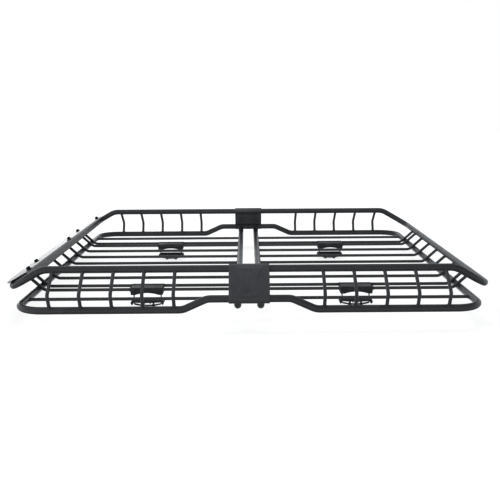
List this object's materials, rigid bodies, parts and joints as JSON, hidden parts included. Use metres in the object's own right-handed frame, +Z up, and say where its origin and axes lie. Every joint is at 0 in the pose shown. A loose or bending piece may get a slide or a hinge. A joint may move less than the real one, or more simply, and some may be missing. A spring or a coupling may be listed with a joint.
{
  "type": "roof cargo basket",
  "caption": "Two-piece open steel roof cargo basket with bent rod floor, side joint plates, sliding crossbar clamps and a tilting wind fairing.",
  "frame": {"origin": "middle of the footprint, at the level of the lowest clamp screw heads", "axes": "+X towards the rear of the car, along the side rails; +Y towards the right side of the car; +Z up"},
  "size_m": [1.302, 1.2422, 0.1655],
  "materials": {
    "frame_steel": "satin black powder coat with a fine orange-peel texture",
    "joint_plate": "charcoal fine-texture powder coat on pressed steel",
    "moulded": "matt black moulded nylon with a fine grain",
    "strap_steel": "black satin coated steel strap",
    "zinc_bolt": "dull grey zinc plate",
    "fairing_gloss": "gloss black sheet plastic"
  },
  "bodies": {
    "root": {"front_upper_rail": "frame_steel", "front_lower_rail": "frame_steel", "front_cross_tube": "frame_steel", "front_floor_rod_1": "frame_steel", "front_floor_rod_2": "frame_steel", "front_floor_rod_3": "frame_steel", "front_floor_rod_4": "frame_steel", "front_floor_rod_5": "frame_steel", "front_floor_rod_6": "frame_steel", "front_floor_rod_7": "frame_steel", "front_floor_rod_8": "frame_steel", "front_floor_rod_9": "frame_steel", "front_floor_rod_10": "frame_steel", "front_floor_rod_11": "frame_steel", "rear_upper_rail": "frame_steel", "rear_lower_rail": "frame_steel", "rear_cross_tube": "frame_steel", "rear_floor_rod_1": "frame_steel", "rear_floor_rod_2": "frame_steel", "rear_floor_rod_3": "frame_steel", "rear_floor_rod_4": "frame_steel", "rear_floor_rod_5": "frame_steel", "rear_floor_rod_6": "frame_steel", "rear_floor_rod_7": "frame_steel", "rear_floor_rod_8": "frame_steel", "rear_floor_rod_9": "frame_steel", "rear_floor_rod_10": "frame_steel", "rear_floor_rod_11": "frame_steel", "left_joint_plate": "joint_plate", "left_backing_plate": "joint_plate", "left_plate_bolt_front": "zinc_bolt", "left_plate_bolt_rear": "zinc_bolt", "right_joint_plate": "joint_plate", "right_backing_plate": "joint_plate", "right_plate_bolt_front": "zinc_bolt", "right_plate_bolt_rear": "zinc_bolt"},
    "front_left_mount": {"front_left_saddle": "moulded", "front_left_hanger": "strap_steel"},
    "front_left_clamp_jaw": {"front_left_jaw": "moulded"},
    "front_left_clamp_screw_front": {"front_left_screw_front": "zinc_bolt"},
    "front_left_clamp_screw_rear": {"front_left_screw_rear": "zinc_bolt"},
    "front_right_mount": {"front_right_saddle": "moulded", "front_right_hanger": "strap_steel"},
    "front_right_clamp_jaw": {"front_right_jaw": "moulded"},
    "front_right_clamp_screw_front": {"front_right_screw_front": "zinc_bolt"},
    "front_right_clamp_screw_rear": {"front_right_screw_rear": "zinc_bolt"},
    "rear_left_mount": {"rear_left_saddle": "moulded", "rear_left_hanger": "strap_steel"},
    "rear_left_clamp_jaw": {"rear_left_jaw": "moulded"},
    "rear_left_clamp_screw_front": {"rear_left_screw_front": "zinc_bolt"},
    "rear_left_clamp_screw_rear": {"rear_left_screw_rear": "zinc_bolt"},
    "rear_right_mount": {"rear_right_saddle": "moulded", "rear_right_hanger": "strap_steel"},
    "rear_right_clamp_jaw": {"rear_right_jaw": "moulded"},
    "rear_right_clamp_screw_front": {"rear_right_screw_front": "zinc_bolt"},
    "rear_right_clamp_screw_rear": {"rear_right_screw_rear": "zinc_bolt"},
    "fairing": {"fairing_panel": "fairing_gloss", "fairing_clip_left": "strap_steel", "fairing_clip_right": "strap_steel"}
  },
  "joints": [
    {"name": "front_left_mount_slide", "type": "slide", "parent": "root", "child": "front_left_mount", "axis": [1, 0, 0], "range_m": [-0.15, 0.15]},
    {"name": "front_left_jaw_slide", "type": "slide", "parent": "front_left_mount", "child": "front_left_clamp_jaw", "axis": [0, 0, 1], "range_m": [-0.005, 0]},
    {"name": "front_left_screw_front_turn", "type": "hinge", "parent": "front_left_clamp_jaw", "child": "front_left_clamp_screw_front", "pos_m": [-0.28873, -0.35, 0.007], "axis": [0, 0, 1], "range_deg": [-1805, 5]},
    {"name": "front_left_screw_rear_turn", "type": "hinge", "parent": "front_left_clamp_jaw", "child": "front_left_clamp_screw_rear", "pos_m": [-0.25672, -0.35, 0.007], "axis": [0, 0, 1], "range_deg": [-1805, 5]},
    {"name": "front_right_mount_slide", "type": "slide", "parent": "root", "child": "front_right_mount", "axis": [1, 0, 0], "range_m": [-0.15, 0.15]},
    {"name": "front_right_jaw_slide", "type": "slide", "parent": "front_right_mount", "child": "front_right_clamp_jaw", "axis": [0, 0, 1], "range_m": [-0.005, 0]},
    {"name": "front_right_screw_front_turn", "type": "hinge", "parent": "front_right_clamp_jaw", "child": "front_right_clamp_screw_front", "pos_m": [-0.28873, 0.35, 0.007], "axis": [0, 0, 1], "range_deg": [-1805, 5]},
    {"name": "front_right_screw_rear_turn", "type": "hinge", "parent": "front_right_clamp_jaw", "child": "front_right_clamp_screw_rear", "pos_m": [-0.25672, 0.35, 0.007], "axis": [0, 0, 1], "range_deg": [-1805, 5]},
    {"name": "rear_left_mount_slide", "type": "slide", "parent": "root", "child": "rear_left_mount", "axis": [1, 0, 0], "range_m": [-0.15, 0.15]},
    {"name": "rear_left_jaw_slide", "type": "slide", "parent": "rear_left_mount", "child": "rear_left_clamp_jaw", "axis": [0, 0, 1], "range_m": [-0.005, 0]},
    {"name": "rear_left_screw_front_turn", "type": "hinge", "parent": "rear_left_clamp_jaw", "child": "rear_left_clamp_screw_front", "pos_m": [0.30477, -0.35, 0.007], "axis": [0, 0, 1], "range_deg": [-1805, 5]},
    {"name": "rear_left_screw_rear_turn", "type": "hinge", "parent": "rear_left_clamp_jaw", "child": "rear_left_clamp_screw_rear", "pos_m": [0.33677, -0.35, 0.007], "axis": [0, 0, 1], "range_deg": [-1805, 5]},
    {"name": "rear_right_mount_slide", "type": "slide", "parent": "root", "child": "rear_right_mount", "axis": [1, 0, 0], "range_m": [-0.15, 0.15]},
    {"name": "rear_right_jaw_slide", "type": "slide", "parent": "rear_right_mount", "child": "rear_right_clamp_jaw", "axis": [0, 0, 1], "range_m": [-0.005, 0]},
    {"name": "rear_right_screw_front_turn", "type": "hinge", "parent": "rear_right_clamp_jaw", "child": "rear_right_clamp_screw_front", "pos_m": [0.30477, 0.35, 0.007], "axis": [0, 0, 1], "range_deg": [-1805, 5]},
    {"name": "rear_right_screw_rear_turn", "type": "hinge", "parent": "rear_right_clamp_jaw", "child": "rear_right_clamp_screw_rear", "pos_m": [0.33677, 0.35, 0.007], "axis": [0, 0, 1], "range_deg": [-1805, 5]},
    {"name": "fairing_tilt", "type": "hinge", "parent": "root", "child": "fairing", "pos_m": [-0.60822, 0, 0.1], "axis": [0, -1, 0], "range_deg": [0, 25]}
  ],
  "couplings": [
    {"joint": "front_left_screw_front_turn", "follows": "front_left_jaw_slide", "rad_per_m": 6283.2},
    {"joint": "front_left_screw_rear_turn", "follows": "front_left_jaw_slide", "rad_per_m": 6283.2},
    {"joint": "front_right_screw_front_turn", "follows": "front_right_jaw_slide", "rad_per_m": 6283.2},
    {"joint": "front_right_screw_rear_turn", "follows": "front_right_jaw_slide", "rad_per_m": 6283.2},
    {"joint": "rear_left_screw_front_turn", "follows": "rear_left_jaw_slide", "rad_per_m": 6283.2},
    {"joint": "rear_left_screw_rear_turn", "follows": "rear_left_jaw_slide", "rad_per_m": 6283.2},
    {"joint": "rear_right_screw_front_turn", "follows": "rear_right_jaw_slide", "rad_per_m": 6283.2},
    {"joint": "rear_right_screw_rear_turn", "follows": "rear_right_jaw_slide", "rad_per_m": 6283.2}
  ]
}
